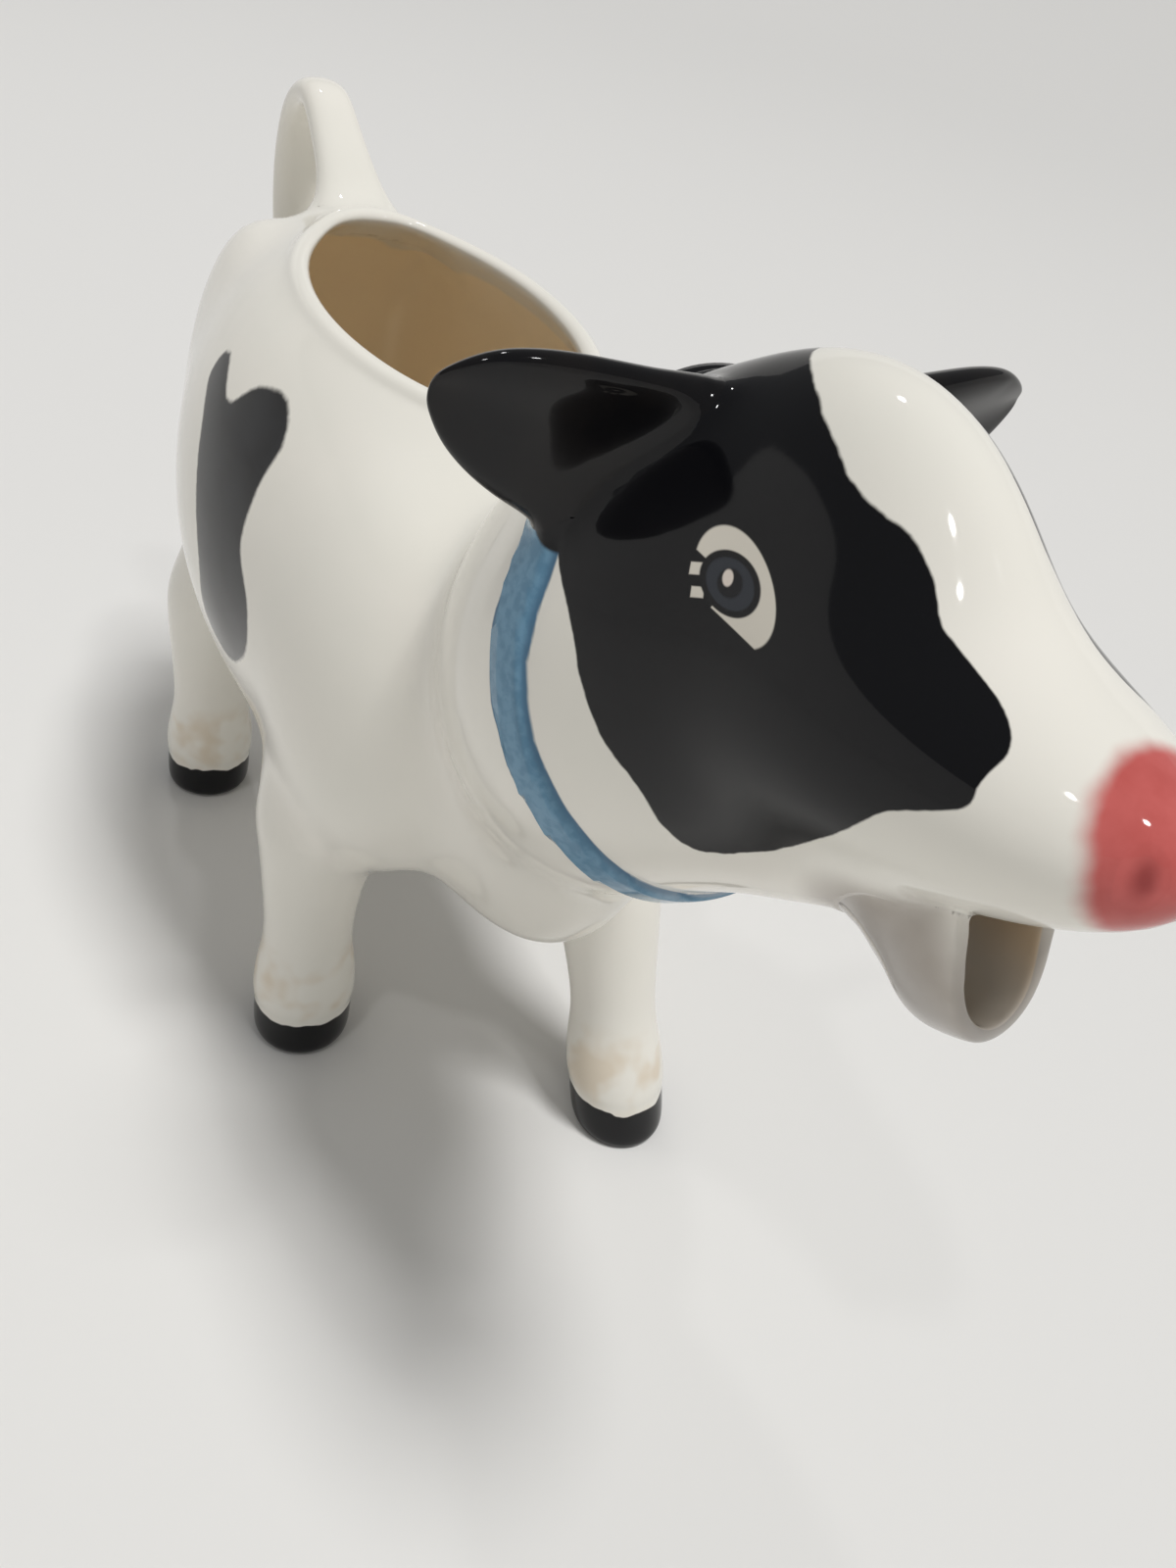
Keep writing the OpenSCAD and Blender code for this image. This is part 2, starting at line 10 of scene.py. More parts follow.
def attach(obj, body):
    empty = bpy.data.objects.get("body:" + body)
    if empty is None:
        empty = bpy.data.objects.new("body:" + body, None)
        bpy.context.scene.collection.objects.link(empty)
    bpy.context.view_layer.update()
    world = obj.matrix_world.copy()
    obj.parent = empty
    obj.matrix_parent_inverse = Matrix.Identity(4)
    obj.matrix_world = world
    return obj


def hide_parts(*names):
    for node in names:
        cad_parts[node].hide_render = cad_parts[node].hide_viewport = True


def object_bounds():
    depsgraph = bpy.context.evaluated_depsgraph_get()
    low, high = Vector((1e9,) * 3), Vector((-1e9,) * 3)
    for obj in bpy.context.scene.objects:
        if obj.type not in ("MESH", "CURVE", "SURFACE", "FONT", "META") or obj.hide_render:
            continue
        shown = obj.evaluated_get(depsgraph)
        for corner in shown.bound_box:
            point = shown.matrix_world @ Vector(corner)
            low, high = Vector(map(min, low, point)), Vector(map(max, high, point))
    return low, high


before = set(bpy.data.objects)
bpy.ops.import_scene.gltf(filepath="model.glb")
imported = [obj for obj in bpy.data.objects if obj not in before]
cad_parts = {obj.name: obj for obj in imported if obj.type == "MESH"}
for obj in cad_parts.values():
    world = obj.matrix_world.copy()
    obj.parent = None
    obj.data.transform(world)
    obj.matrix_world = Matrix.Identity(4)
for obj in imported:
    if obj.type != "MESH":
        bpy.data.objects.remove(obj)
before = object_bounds()


# Body: the barrel, rump and chest, slip cast as one hollow piece of earthenware 3 mm thick. Its forms melt
# into each other, and the edge of the opening in the back is rolled. The glaze is cream-white outside, with
# a black patch brushed on each flank, and tan inside.
def lump(x, y, z, length, width, height, lean=0):
    """A form of clay: an ellipsoid, or one at each side where y isn't 0."""
    t = math.radians(lean)
    return (x, y, z), (2 / length, 2 / width, 2 / height), math.cos(t), math.sin(t)


lumps = {
    "barrel": lump(-27.73, 0, 67.5, 90, 59, 74),
    "rump": lump(-56.23, 0, 70, 45, 38, 54),
    "haunches": lump(-60.73, 12, 65.5, 36, 17, 58),
    "chest": lump(8.27, 0, 61.5, 61, 24, 54),
    "shoulders": lump(1.27, 13, 62, 32, 24, 51),
    "neck": lump(35.27, 0, 86, 43, 38, 57, 33.6),
    "skull": lump(53.27, 0, 100, 39.5, 18.4, 40, 7),
    "muzzle": lump(65.77, 0, 100, 46, 21.4, 17.4, -12),
    "throat": lump(52, 0, 86, 28, 12, 14, -35),
}
blend = 3
collar_lean = math.radians(22.2)
collar_foot = np.array((48, 0, 68.0))
collar_ahead = np.array((math.cos(collar_lean), 0, math.sin(collar_lean)))
band_rise = 0.7
band_bow = 0.2
throat_top = 86
ear_root = 92
rim_lean = math.radians(5.2)
rim_front = np.array((7.8, 0, 93.8))
rim_up = np.array((math.sin(rim_lean), 0, math.cos(rim_lean)))


def depth_of(p):
    """Distance of each point from the skin of the two castings in mm, less than zero inside."""
    total = 0
    for (x, y, z), scale, c, s in lumps.values():
        dx, dz = p[:, 0] - x, p[:, 2] - z
        q = np.stack(((dx * c - dz * s), np.abs(p[:, 1]) - y, (dx * s + dz * c)), 1) * scale
        near = np.linalg.norm(q, axis=1)
        slope = np.linalg.norm(q * scale, axis=1)
        total = total + np.exp(near * (1 - near) / np.maximum(slope, 1e-9) / blend)
    return -blend * np.log(total)


def steps(value, low, high):
    """Rises smoothly from 0 at low to 1 at high."""
    t = np.clip((value - low) / (high - low), 0, 1)
    return t * t * (3 - 2 * t)


def bowed(p):
    """Place along the neck from the collar's rear edge, which bows forward at the throat and the ears."""
    low = np.maximum(throat_top - p[:, 2], 0)
    high = np.maximum(p[:, 2] - ear_root, 0)
    at_ears = steps(np.abs(p[:, 1]), 10, 16)
    return (p - collar_foot) @ collar_ahead + 1 - band_bow * low - band_bow * high * at_ears


def band_height(p):
    """Height of the collar band over the skin."""
    ahead = bowed(p)
    return band_rise * steps(ahead, -0.3, 0.5) * (1 - steps(ahead, 4.1, 4.9))


def height_over(p):
    """Height over the skin with its band."""
    return depth_of(p) - band_height(p)


def skin(p):
    """Height over the skin with its band, and the slope of that height."""
    d = 0.05
    slope = [(height_over(p + d * e) - height_over(p - d * e)) / (2 * d) for e in np.eye(3)]
    return height_over(p), np.stack(slope, 1)


def settle(p, field, rounds=7):
    """Moves points onto the zero surface of a field. Returns them and the field's slope there."""
    longest_step = 1.5
    least_slope = 0.2
    p = p.copy()
    for _ in range(rounds):
        value, slope = field(p)
        step = value[:, None] * slope / np.maximum((slope * slope).sum(1), least_slope)[:, None]
        far = np.linalg.norm(step, axis=1)[:, None]
        p -= step * np.minimum(1, longest_step / np.maximum(far, 1e-9))
    return p, field(p)[1]


def unit(v):
    return v / np.maximum(np.linalg.norm(v, axis=1), 1e-6)[:, None]


def points(piece):
    """The corners of a piece in mm."""
    co = np.zeros(len(piece.data.vertices) * 3)
    piece.data.vertices.foreach_get("co", co)
    return co.reshape(-1, 3) * 1000


def facing(piece):
    """The mesh's own normals at the corners of a piece."""
    values = np.zeros(len(piece.data.vertices) * 3)
    piece.data.vertex_normals.foreach_get("vector", values)
    return values.reshape(-1, 3)


def grain(piece):
    """The slopes of the forms, as far as a piece has them noted at its corners."""
    values = np.zeros(len(piece.data.vertices) * 3)
    piece.data.attributes["grain"].data.foreach_get("vector", values)
    return values.reshape(-1, 3)


def place(piece, p, slopes):
    piece.data.vertices.foreach_set("co", (p / 1000).ravel())
    piece.data.attributes["grain"].data.foreach_set("vector", slopes.ravel())
    piece.data.update()


def note(piece, name, values):
    piece.data.attributes.new(name, "FLOAT", "POINT").data.foreach_set("value", values)


def coat(piece, material):
    piece.data.materials.clear()
    piece.data.materials.append(material)


def smooth_copy(node, levels):
    """A copy of a casting with its facets rounded."""
    bm = bmesh.new()
    bm.from_mesh(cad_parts[node].data)
    bmesh.ops.remove_doubles(bm, verts=bm.verts, dist=1e-6)
    bmesh.ops.recalc_face_normals(bm, faces=bm.faces)
    any_angle = math.pi
    bmesh.ops.join_triangles(
        bm, faces=bm.faces, angle_face_threshold=any_angle, angle_shape_threshold=any_angle)
    mesh = bpy.data.meshes.new(node)
    bm.to_mesh(mesh)
    bm.free()
    piece = bpy.data.objects.new(node + "_glazed", mesh)
    bpy.context.scene.collection.objects.link(piece)
    finer = piece.modifiers.new("finer", "SUBSURF")
    finer.levels = finer.render_levels = levels
    bpy.context.view_layer.update()
    rounded = piece.evaluated_get(bpy.context.evaluated_depsgraph_get())
    piece.data = bpy.data.meshes.new_from_object(rounded)
    piece.modifiers.clear()
    piece.data.shade_smooth()
    piece.data.attributes.new("grain", "FLOAT_VECTOR", "POINT")
    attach(piece, "root")
    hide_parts(node)
    return piece


def seat(piece):
    """Brings the outer side of a casting, but not its rolled rim, from the facets onto the melted forms."""
    p = points(piece)
    depth, slopes = skin(p)
    weight = steps((facing(piece) * slopes).sum(1), 0.1, 0.5) * steps(depth, -2.4, -1.8)
    weight *= np.maximum(steps(-(p - rim_front) @ rim_up, 0.3, 5), steps(p[:, 0], 8, 16))
    moving = weight > 0
    q, slopes = settle(p[moving], skin)
    p[moving] += weight[moving, None] * (q - p[moving])
    normals = np.zeros_like(p)
    normals[moving] = weight[moving, None] ** 2 * unit(slopes)
    place(piece, p, normals)


body = smooth_copy("body_shell", 2)
seat(body)
p = points(body)
lap = 1.5
ahead = (p - collar_foot) @ collar_ahead
seam = (ahead > -lap) & (ahead < 3)
outer = seam & (depth_of(p) > -1)
tongue = np.maximum(lap, band_bow * (throat_top - p[seam, 2])) / lap
p[seam] += ((ahead[seam] + lap) * tongue)[:, None] * collar_ahead


def under_head(q):
    """The skin. The body's front edge laps over the head's rear one and runs in under the band."""
    value, slope = skin(q)
    under = 0.28 * steps(bowed(q), -0.3, 0.3) - 0.03
    return value + under * steps((q - collar_foot) @ collar_ahead, -0.2, 0.2), slope


p[outer] = settle(p[outer], under_head)[0]
place(body, p, grain(body))


def side_of(piece, p):
    """Distance from a closed piece with corners at p, and a slope that turns smoothly over its edges."""
    quads = np.array([f.vertices[:] for f in piece.data.polygons])
    normals = facing(piece)
    tree = BVHTree.FromPolygons(p.tolist(), quads.tolist())

    def side(q):
        found = [tree.find_nearest(spot, 30) for spot in q]
        hit = np.array([f[0] is not None for f in found])
        value, slope = np.full(len(q), 99.0), np.zeros((len(q), 3))
        if hit.any():
            near = np.array([f[0] for f in found if f[0] is not None])
            corners = quads[[f[2] for f in found if f[0] is not None]]
            gap = np.linalg.norm(p[corners] - near[:, None], axis=2) + 1e-4
            normal = (normals[corners] / gap[..., None]).sum(1)
            normal /= np.linalg.norm(normal, axis=1)[:, None]
            away = q[hit] - near
            far = np.linalg.norm(away, axis=1)
            sign = np.where((away * normal).sum(1) >= 0, 1, -1)
            value[hit] = sign * far
            straight = away * (sign / np.maximum(far, 1e-9))[:, None]
            turned = steps(far, 0.05, 0.5)[:, None]
            slope[hit] = normal * (1 - turned) + straight * turned
        return value, slope
    return side


def lute(casting, piece, k, ground=skin, cap=2.5, softness=None):
    """Draws a fillet of slip, k mm soft, round the root of a piece, on it and on its casting alike. The
    casting climbs it by cap at most. Where one of the two is the nearer, the other runs in under it."""
    soften = softness or (lambda q, slopes: np.full(len(q), float(k)))
    faint = math.exp(-5)
    deepest = -3
    tuck = 0.06
    buried = 0.5
    smallest_root = 12
    skirt_step = 0.22
    skirt_sinks = (0.0, 0.01, 0.03, 0.08, 0.2, 0.5)
    root_sink = 1.2
    p = points(piece)
    depth, up = ground(p)
    deeper = 1.5 * (1 - steps(depth, 0.1, 0.7))
    side = side_of(piece, p - deeper[:, None] * unit(up))

    def melted(q, own, sink=0.0):
        """The field of the piece, where own is 1, or of the casting, where it is -1, melted together."""
        (a, da), (b, db) = ground(q), side(q)
        soft = soften(q, db)
        wa = np.exp(-np.maximum(a, deepest) / soft)
        wb = np.exp(-np.maximum(b, deepest) / soft)
        if own < 0:
            wb = np.maximum(wb - faint, 0)
        else:
            wa = np.maximum(wa - faint, 0)
        value = -soft * np.log(wa + wb)
        slope = (wa[:, None] * da + wb[:, None] * db) / (wa + wb)[:, None]
        value = value + sink + tuck * steps(own * (b - a), 0, 1)
        if own < 0:
            over = a - cap > value
            value, slope = np.where(over, a - cap, value), np.where(over[:, None], da, slope)
        return value, slope

    bm = bmesh.new()
    bm.from_mesh(piece.data)
    bm.verts.ensure_lookup_table()
    layer = bm.verts.layers.float_vector["grain"]

    def draw(corners, spots, slopes):
        for corner, spot, slope in zip(corners, spots, slopes):
            corner.co = spot / 1000
            corner[layer] = slope / max(np.linalg.norm(slope), 0.05)

    left = dict.fromkeys(f for f in bm.faces if max(depth[v.index] for v in f.verts) < buried)
    roots = []
    while left:
        group = [left.popitem()[0]]
        for grown in group:
            for e in grown.edges:
                for f in e.link_faces:
                    if f in left:
                        del left[f]
                        group.append(f)
        if len(group) > smallest_root:
            roots.append(group)
    inner = {v for group in roots for f in group for v in f.verts}
    moving = [v for v in bm.verts if depth[v.index] < 6 * k and v not in inner]
    draw(moving, *settle(p[[v.index for v in moving]], lambda q: melted(q, 1)))
    for group in roots:
        members = set(group)
        rim = dict.fromkeys(e for f in group for e in f.edges if not members.issuperset(e.link_faces))
        bmesh.ops.split_edges(bm, edges=list(rim))
        rim_inner = [e for f in group for e in f.edges if e.is_boundary]
        corners = {v for e in rim_inner for v in e.verts}
        ring = [e for e in bm.edges if e.is_boundary and not corners.intersection(e.verts)]
        first = list(dict.fromkeys(v for e in ring for v in e.verts))
        q, slopes = settle(np.array([v.co[:] for v in first]) * 1000, lambda q: melted(q, 1))
        draw(first, q, slopes)
        for sink in skirt_sinks:
            made = bmesh.ops.extrude_edge_only(bm, edges=ring)["geom"]
            fresh = [g for g in made if isinstance(g, bmesh.types.BMVert)]
            marks = set(fresh)
            ring = [e for e in bm.edges if e.is_boundary and marks.issuperset(e.verts)]
            q = np.array([v.co[:] for v in fresh]) * 1000
            (b, db), slopes = side(q), melted(q, 1)[1]
            flat = (db * slopes).sum(1) / np.maximum((slopes * slopes).sum(1), 1e-9)
            out = unit(db - slopes * flat[:, None]) * skirt_step * soften(q, db)[:, None]
            q, slopes = settle(q + out, lambda q: melted(q, 1, sink), 4)
            draw(fresh, q, slopes)
        sunk = list(dict.fromkeys(v for f in group for v in f.verts))
        q = np.array([v.co[:] for v in sunk]) * 1000
        for _ in range(4):
            a, da = ground(q)
            q = q - ((a + root_sink) / np.maximum((da * da).sum(1), 0.2))[:, None] * da
        draw(sunk, q, np.zeros_like(q))
        bmesh.ops.bridge_loops(bm, edges=ring + rim_inner)
    bmesh.ops.recalc_face_normals(bm, faces=bm.faces)
    for f in bm.faces:
        f.smooth = True
    bm.to_mesh(piece.data)
    bm.free()

    p_new = points(piece)
    p = points(casting)
    reach = 5 * k
    low, high = p_new.min(0) - reach, p_new.max(0) + reach
    outside = depth_of(p) > (-0.3 if ground is skin else -1.6)
    near = outside & ((p > low) & (p < high)).all(1)
    slopes = grain(casting)
    p[near], fresh = settle(p[near], lambda q: melted(q, -1))
    slopes[near] = unit(fresh)
    place(casting, p, slopes)


def polish(piece):
    """Shades a piece by the slope of the forms, so that no seam shows, and keeps it in the CAD's box."""
    low, high = (np.array(v) * 1000 for v in before)
    slopes = grain(piece)
    place(piece, np.clip(points(piece), low, high), slopes)
    size = np.minimum(np.linalg.norm(slopes, axis=1), 1)[:, None]
    normals = unit(slopes + (1 - size) * facing(piece))
    piece.data.normals_split_custom_set_from_vertices(normals.tolist())


def outline_gap(u, v, corners):
    """Distance of points from a smooth closed outline, less than zero inside it."""
    c = np.array(corners, float)
    a, b, d = np.roll(c, 1, 0), np.roll(c, -1, 0), np.roll(c, -2, 0)
    loop = []
    for i in range(len(c)):
        for t in np.arange(0, 1, 0.125):
            bend = 2 * a[i] - 5 * c[i] + 4 * b[i] - d[i]
            twist = 3 * c[i] - a[i] - 3 * b[i] + d[i]
            loop.append(0.5 * (2 * c[i] + (b[i] - a[i]) * t + bend * t * t + twist * t ** 3))
    loop = np.array(loop)
    best, inside = np.full(len(u), 1e9), np.zeros(len(u), bool)
    for (x0, y0), (x1, y1) in zip(loop, np.roll(loop, -1, 0)):
        ex, ey = x1 - x0, y1 - y0
        t = np.clip(((u - x0) * ex + (v - y0) * ey) / max(ex * ex + ey * ey, 1e-9), 0, 1)
        best = np.minimum(best, np.hypot(u - x0 - t * ex, v - y0 - t * ey))
        crossing = (y0 > v) != (y1 > v)
        if y1 != y0:
            inside ^= crossing & (u < x0 + (v - y0) * ex / ey)
    return np.where(inside, -best, best)


class Shade:
    """A socket of a material that sums and products can be written with."""

    def __init__(self, tree, socket=None):
        self.tree, self.socket = tree, socket

    def node(self, kind, *values, out=0, **settings):
        """A new node with its settings and its sockets' values or links. None leaves a socket as it is."""
        made = self.tree.nodes.new("ShaderNode" + kind)
        for name, value in settings.items():
            setattr(made, name, value)
        for slot, value in zip([s for s in made.inputs if s.enabled], values):
            if isinstance(value, Shade):
                self.tree.links.new(value.socket, slot)
            elif value is not None:
                slot.default_value = value
        return Shade(self.tree, [s for s in made.outputs if s.enabled][out])

    def __add__(self, other):
        return self.node("Math", self, other, operation="ADD")

    def __sub__(self, other):
        return self.node("Math", self, other, operation="SUBTRACT")

    def __rsub__(self, other):
        return self.node("Math", other, self, operation="SUBTRACT")

    def __mul__(self, other):
        return self.node("Math", self, other, operation="MULTIPLY")

    def __truediv__(self, other):
        return self.node("Math", self, other, operation="DIVIDE")

    def __pow__(self, other):
        return self.node("Math", self, other, operation="POWER")

    def __abs__(self):
        return self.node("Math", self, operation="ABSOLUTE")

    __radd__, __rmul__ = __add__, __mul__

    def low(self, other):
        return self.node("Math", self, other, operation="MINIMUM")

    def high(self, other):
        return self.node("Math", self, other, operation="MAXIMUM")

    def under(self, edge, soft):
        """1 where the value is under the edge, 0 over it."""
        ramp = (edge - soft, edge + soft, 1.0, 0.0)
        return self.node("MapRange", self, *ramp, interpolation_type="SMOOTHSTEP")

    def noise(self, scale, detail=2.0):
        return self.node("TexNoise", self, scale, detail)

    def noted(self, name):
        """A value noted at the corners of the piece."""
        return self.node("Attribute", out=2, attribute_name=name)

    def tint(self, under, over):
        """Where this is 0 the first colour, where it is 1 the second."""
        return self.node("MixRGB", self, under, over)


def glaze(name, paint):
    """High-gloss lead glaze on fired clay. The function paint gives its colour, and perhaps a dimple."""
    material = bpy.data.materials.new(name)
    material.use_nodes = True
    tree = material.node_tree
    shader = tree.nodes["Principled BSDF"]
    spot = Shade(tree).node("TexCoord", out=3)
    colour, dimple = paint(Shade(tree), spot)
    wave = spot.noise(45.0, 1.0) * 0.5 + spot.noise(130.0, 1.0) * 0.09
    if dimple:
        wave = wave + dimple
    strength, distance, filter_width = 0.12, 0.004, None
    normal = Shade(tree).node("Bump", strength, distance, filter_width, wave)
    tree.links.new(colour.socket, shader.inputs["Base Color"])
    tree.links.new(normal.socket, shader.inputs["Normal"])
    shader.inputs["Roughness"].default_value = 0.06
    shader.inputs["IOR"].default_value = 1.39
    return material


white = (0.83, 0.80, 0.73, 1)
cream = (0.80, 0.78, 0.71, 1)
black = (0.0035, 0.0035, 0.0045, 1)
tan = (0.98, 0.85, 0.65, 1)


def mottled(spot):
    """The white glaze, a little creamier here and there."""
    return spot.noise(60.0).under(0.5, 0.3).tint(cream, white)


def axes(spot):
    """Distances along the cow, across it and up, in mm."""
    return [spot.node("SeparateXYZ", spot, out=axis) * 1000 for axis in range(3)]


def crown(spot, x, y, z):
    """The black behind the poll, which runs over the top of the collar."""
    edge = (y - 9).high(105.5 - z).high(x - 44.5) + (spot.noise(220.0) - 0.5) * 1.5
    return edge.under(0.0, 0.3)


def collar_paint(spot, x, y, z, shown):
    """The blue band, streaked by the brush and darker along its edges. It bows as the raised band does."""
    ahead = x * float(collar_ahead[0]) + z * float(collar_ahead[2]) - float(collar_foot @ collar_ahead - 1)
    at_ears = 1 - abs(y).under(13.0, 3.0)
    low = (throat_top - z).high(0.0) * band_bow
    high = (z - ear_root).high(0.0) * band_bow
    ahead = ahead - low - high * at_ears
    band_middle, bright_half, painted_half = 2.3, 2.3, 2.75
    off = abs(ahead - band_middle + (spot.noise(180.0) - 0.5) * 0.6)
    streak = spot.noise(900.0, 4.0).under(0.5, 0.12)
    blue = streak.tint((0.10, 0.225, 0.34, 1), (0.14, 0.285, 0.41, 1))
    edged = off.under(bright_half, 0.25).tint((0.065, 0.155, 0.25, 1), blue)
    return off.under(painted_half, 0.16).tint(shown, crown(spot, x, y, z).tint(edged, black))


def body_paint(shade, spot):
    lining = shade.noted("depth").under(-2.1, 0.12)
    brush = spot.noise(260.0).under(0.5, 0.2)
    patch = brush.tint(black, (0.009, 0.01, 0.012, 1))
    edge = shade.noted("patch") + (spot.noise(700.0) - 0.5) * 0.5
    painted = (edge.under(0.0, 0.35) * (1 - lining)).tint(mottled(spot), patch)
    x, y, z = axes(spot)
    painted = collar_paint(spot, x, y, z, painted)
    below_rim = float(rim_front @ rim_up) - x * float(rim_up[0]) - z * float(rim_up[2])
    white_lip = (-40 - x).high(0.0) * 0.11 + spot.noise(120.0) * 1.2
    inside = lining * (1 - (below_rim - white_lip).under(2.2, 0.5))
    return inside.tint(painted, tan), None


flank = [(-30.6, 89.2), (-24.2, 85.6), (-19.9, 89.1), (-14.4, 90.2), (-10.5, 86.8), (-10.9, 80.9),
         (-10.7, 73.8), (-7.2, 68.1), (-8, 61.5), (-15.4, 55.8), (-22.8, 58.2), (-22.8, 67.4),
         (-28.5, 80.1), (-33.2, 85.5)]
right_gap = outline_gap(p[:, 0], p[:, 2], flank)
left_gap = outline_gap(p[:, 0] - 2, p[:, 2] - 3.5, flank)
note(body, "patch", np.where(p[:, 1] < 0, right_gap, left_gap))
note(body, "depth", depth_of(p))
coat(body, glaze("body glaze", body_paint))


# Legs: four solid cast legs of the same clay, luted to the belly and the flanks with slip. They are glazed
# white, warmer where the glaze runs thin over the fetlocks, and the rounded hooves are dipped in black.
def leg_paint(shade, spot):
    hoof_top, fetlock = 6.2, 12
    height = axes(spot)[2]
    warm = spot.noise(150.0).under(0.47, 0.1) * abs(height - fetlock).under(5.0, 3.0)
    tinted = (warm * 0.45).tint(mottled(spot), (0.62, 0.47, 0.29, 1))
    edge = height + (spot.noise(220.0) - 0.5) * 2.2
    return edge.under(hoof_top, 0.15).tint(tinted, black), None


leg_glaze = glaze("leg glaze", leg_paint)
for name in ("leg_front_left", "leg_front_right", "leg_rear_left", "leg_rear_right"):
    leg = smooth_copy(name, 3)
    lute(body, leg, 3.5)
    coat(leg, leg_glaze)
    polish(leg)


# Tail: a flattened roll of clay, bent into a loop and luted with slip behind the opening and on the rump.
# It is the handle, a little narrower towards its top, and glazed white.
def plain_paint(shade, spot):
    return mottled(spot), None


tail = smooth_copy("tail_handle", 3)
p = points(tail)
narrowing, lean = 0.22, 0.7
p[:, 1] -= (narrowing * p[:, 1] + lean) * steps(p[:, 2], 98, 112)
place(tail, p, grain(tail))
lute(body, tail, 2.2, side_of(body, points(body)), 1.5)
coat(tail, glaze("tail glaze", plain_paint))
polish(tail)
polish(body)


# Head: the slip-cast head and upper neck, open under the muzzle. The collar is a low band in relief,
# brushed blue. A black patch lies on each cheek round the eye, and the end of the muzzle is pink.
head = smooth_copy("head_shell", 2)
seat(head)


def ellipse(a, b, a0, b0, half_a, half_b, turn=0):
    """Distance from an ellipse, less than zero inside, near enough for thin paint."""
    c, s = math.cos(math.radians(turn)), math.sin(math.radians(turn))
    along = ((a - a0) * c + (b - b0) * s) / half_a
    up = ((b - b0) * c - (a - a0) * s) / half_b
    return ((along * along + up * up) ** 0.5 - 1) * min(half_a, half_b)


def block(a, b, a0, b0, half_a, half_b, turn=0):
    """Distance from a turned rectangle, less than zero inside."""
    c, s = math.cos(math.radians(turn)), math.sin(math.radians(turn))
    along = (a - a0) * c + (b - b0) * s
    up = (b - b0) * c - (a - a0) * s
    return (abs(along) - half_a).high(abs(up) - half_b)


def jaw_shade_fade(x, y, z):
    """1 away from the lower jaw, falling to 0 on and round it, where painted shade greys the muzzle's
    underside.
    """
    dx, dz = x - 74.5, z - 87.0
    return 1 - ((dx * dx + y * y + dz * dz) ** 0.5).under(9.0, 2.0)


def eye_paint(a, b, shown):
    """The eye, with a along the cow and b up the cheek from its middle. Its white is cut flat below and
    left out low at the rear, where two lashes stand."""
    white_part = ellipse(a, b, 0.4, -0.1, 4.9, 2.65, -17).high(-2.25 - b)
    white_part = white_part.high(0.0 - (a + 0.4).high(b))
    lashes = block(a, b, -3.2, -0.92, 0.56, 0.42, 31), block(a, b, -2.05, -2.1, 0.55, 0.38, 31)
    white_part = white_part.low(lashes[0]).low(lashes[1])
    iris = ellipse(a, b, -0.15, -0.15, 2.95, 1.95)
    pupil = ellipse(a, b, -0.2, -0.1, 1.15, 0.95)
    gleam = ellipse(a, b, -0.6, 0.07, 0.58, 0.45, -45)
    shown = white_part.under(0.0, 0.07).tint(shown, (0.66, 0.62, 0.54, 1))
    shown = iris.under(0.0, 0.07).tint(shown, (0.006, 0.006, 0.007, 1))
    shown = iris.under(-0.42, 0.1).tint(shown, (0.028, 0.032, 0.04, 1))
    shown = pupil.under(0.0, 0.12).tint(shown, (0.008, 0.008, 0.01, 1))
    return gleam.under(0.0, 0.08).tint(shown, (0.7, 0.62, 0.55, 1))


def head_paint(shade, spot):
    x, y, z = axes(spot)
    side = abs(y)
    # The muzzle's underside round the jaw is greyed with painted shade.
    shown = jaw_shade_fade(x, y, z).tint((0.45, 0.41, 0.365, 1), mottled(spot))
    edge = shade.noted("patch") + (spot.noise(500.0) - 0.5) * 0.35
    shown = edge.under(0.0, 0.1).tint(shown, black)

    girth, eye_turn, eye_x = 13.75, 0.9425, 55.3
    turn = shade.node("Math", side, z - 98, operation="ARCTAN2")
    shown = eye_paint(x - eye_x, eye_turn * girth - turn * girth, shown)

    shown = crown(spot, x, y, z).tint(shown, black)
    shown = collar_paint(spot, x, y, z, shown)
    ear_x, ear_y, ear_z = x - 40, side - 16, z - 102.8
    by_ear = (ear_x * ear_x + ear_y * ear_y + ear_z * ear_z) ** 0.5
    shown = by_ear.under(2.3, 0.2).tint(shown, black)

    nose_radius = 6.2
    nose_x, nose_z = x - 85.6, z - 105.8
    away = (nose_x * nose_x + y * y + nose_z * nose_z) ** 0.5 + (spot.noise(300.0) - 0.5) * 1.2
    pink = spot.noise(400.0, 3.0).under(0.5, 0.25).tint((0.56, 0.125, 0.115, 1), (0.50, 0.10, 0.09, 1))
    shown = away.under(nose_radius, 0.75).tint(shown, pink)
    hole_x, hole_y, hole_z = x - 86.5, side - 3.5, z - 105.2
    nostril = (hole_x * hole_x + hole_y * hole_y * 1.6 + hole_z * hole_z * 0.5) ** 0.5
    shown = (nostril.under(0.75, 0.65) * 0.7).tint(shown, (0.2, 0.02, 0.02, 1))

    inside = shade.noted("depth").under(-1.2, 0.3)
    return inside.tint(shown, tan), nostril.under(1.0, 0.8) * -1.0


cheek = [(43.5, -5), (45.4, 5), (49.4, 12.6), (54.5, 17.8), (58, 20.5), (61.2, 20.5), (63.6, 18.9),
         (66.9, 20.8), (69, 24.6), (72.8, 26), (75.4, 27.7), (77.1, 32), (77.7, 37), (77.8, 46.3),
         (78.2, 52.1), (77.4, 58.8), (74.1, 73.7), (70.9, 98.9), (65.6, 132.9), (60.3, 146.4),
         (57, 144.1), (54.1, 128.4), (50.8, 116.4), (48.2, 105.8), (45.4, 93.8), (40.5, 79.8),
         (38.5, 65), (37.5, 45), (37.5, 20), (37.5, -5)]
p = points(head)
girth_per_degree = 0.24
turn = np.degrees(np.arctan2(np.abs(p[:, 1]), p[:, 2] - 98))
left_turn = 9 + np.clip(70 - p[:, 0], 0, 12)
turn += left_turn * steps(p[:, 1], 0, 3)
